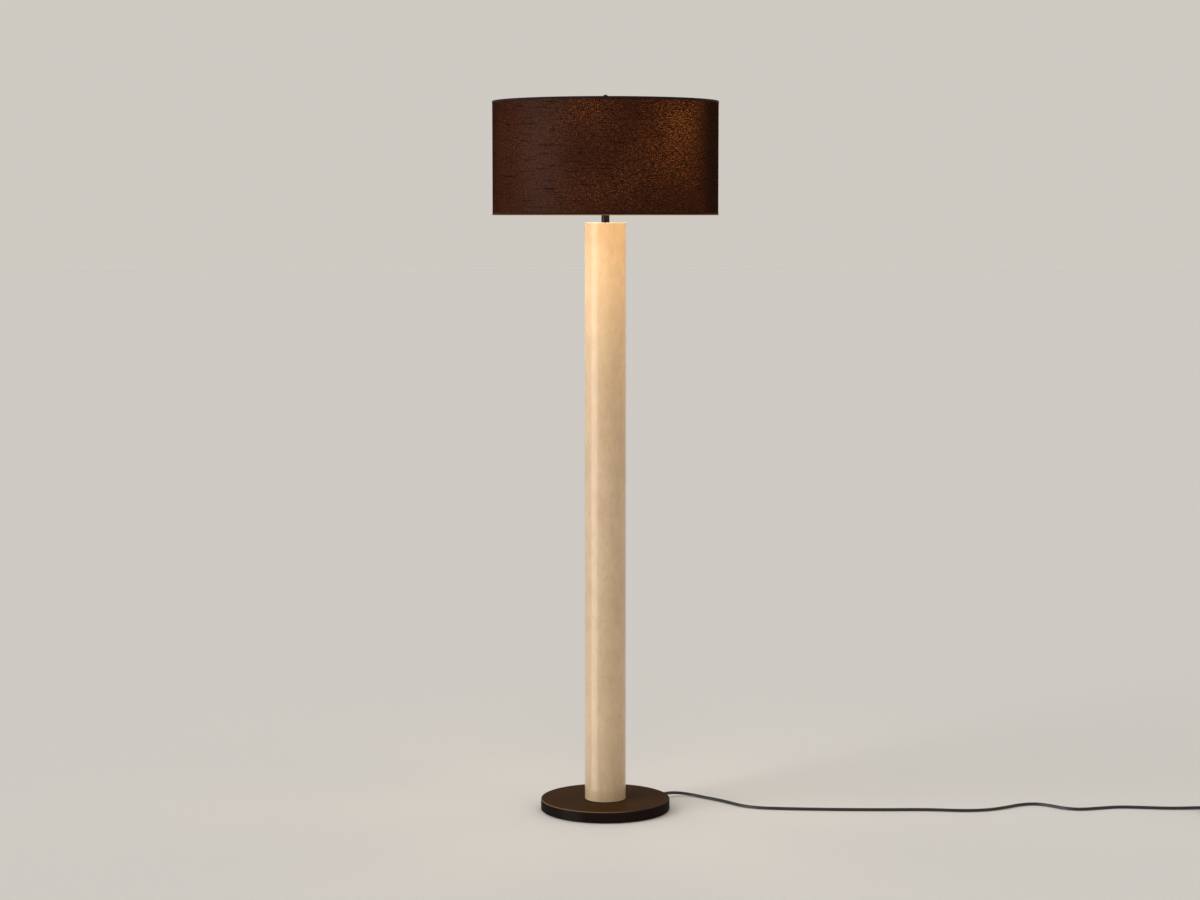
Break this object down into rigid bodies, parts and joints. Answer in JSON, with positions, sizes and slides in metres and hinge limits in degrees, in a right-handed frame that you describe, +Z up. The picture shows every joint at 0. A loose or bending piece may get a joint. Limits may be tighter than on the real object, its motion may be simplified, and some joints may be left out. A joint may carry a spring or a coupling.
{
  "type": "floor lamp",
  "caption": "Floor lamp with a round weighted base, a stout parchment-covered column, a wire harp and a brown drum shade that turns on it, with its lead and plug.",
  "frame": {"origin": "on the floor, on the axis of the column and of the base", "axes": "+Z up along the column, -Y the front with the switch knob, +X the right seen from the front"},
  "size_m": [1.7199, 0.5, 1.6008],
  "materials": {
    "plate_black": "satin paint",
    "pad_foam": "closed-cell foam",
    "zinc_steel": "zinc plated",
    "lead_black": "smooth, slightly glossy",
    "wire_sleeve": "insulated wire",
    "tube_metal": "plain tube",
    "parchment": "lacquered parchment-like skin",
    "cap_cream": "satin paint",
    "neck_black": "gloss",
    "harp_metal": "plated",
    "holder_brass": "satin",
    "holder_liner": "pressed insulating board",
    "holder_moulding": "moulded",
    "contact_metal": "bare",
    "knob_black": "moulded",
    "bulb_glow": "opal diffuser",
    "bulb_white": "moulded",
    "bulb_metal": "rolled thread",
    "frame_white": "coated wire",
    "shade_cloth": "coarse slubbed weave",
    "shade_lining": "laminated sheet",
    "shade_binding": "folded edge",
    "finial_dark": "satin"
  },
  "bodies": {
    "root": {"base_plate": "plate_black", "base_pad": "pad_foam", "base_washer": "zinc_steel", "base_nut": "zinc_steel", "strain_relief": "lead_black", "lead_in": "lead_black", "core_wires": "wire_sleeve", "foot_disc": "tube_metal", "column_core": "tube_metal", "column_sleeve": "parchment", "top_cap": "cap_cream", "lamp_pipe": "zinc_steel", "neck": "neck_black", "harp_saddle": "harp_metal", "socket_locknut": "zinc_steel", "socket_cap": "holder_brass", "socket_shell": "holder_brass", "socket_liner": "holder_liner", "socket_interior": "holder_moulding", "screw_shell": "contact_metal", "centre_contact": "contact_metal", "terminal_screws": "contact_metal", "bulb_globe": "bulb_glow", "bulb_housing": "bulb_white", "bulb_cap": "bulb_metal", "bulb_tip": "holder_moulding", "harp_loop": "harp_metal", "power_cord": "lead_black", "cord_coil": "lead_black", "cord_tie": "lead_black", "plug_body": "lead_black", "plug_blades": "contact_metal"},
    "shade": {"harp_stud": "zinc_steel", "shade_spider": "frame_white", "bottom_ring": "frame_white", "shade_cover": "shade_cloth", "shade_liner": "shade_lining", "top_trim": "shade_binding", "bottom_trim": "shade_binding"},
    "finial": {"finial": "finial_dark"},
    "switch": {"switch_shaft": "holder_moulding", "switch_knob": "knob_black"},
    "ferrule_left": {"ferrule_left": "harp_metal"},
    "ferrule_right": {"ferrule_right": "harp_metal"}
  },
  "joints": [
    {"name": "shade_turn", "type": "hinge", "parent": "root", "child": "shade", "pos_m": [0, 0, 1.5636], "axis": [0, 0, 1], "continuous": true},
    {"name": "finial_turn", "type": "hinge", "parent": "shade", "child": "finial", "pos_m": [0, 0, 1.58], "axis": [0, 0, 1], "continuous": true},
    {"name": "switch_turn", "type": "hinge", "parent": "root", "child": "switch", "pos_m": [0, -0.02, 1.369], "axis": [0, -1, 0], "continuous": true},
    {"name": "ferrule_left_slide", "type": "slide", "parent": "root", "child": "ferrule_left", "axis": [0, 0, 1], "range_m": [0, 0.012]},
    {"name": "ferrule_right_slide", "type": "slide", "parent": "root", "child": "ferrule_right", "axis": [0, 0, 1], "range_m": [0, 0.012]}
  ]
}
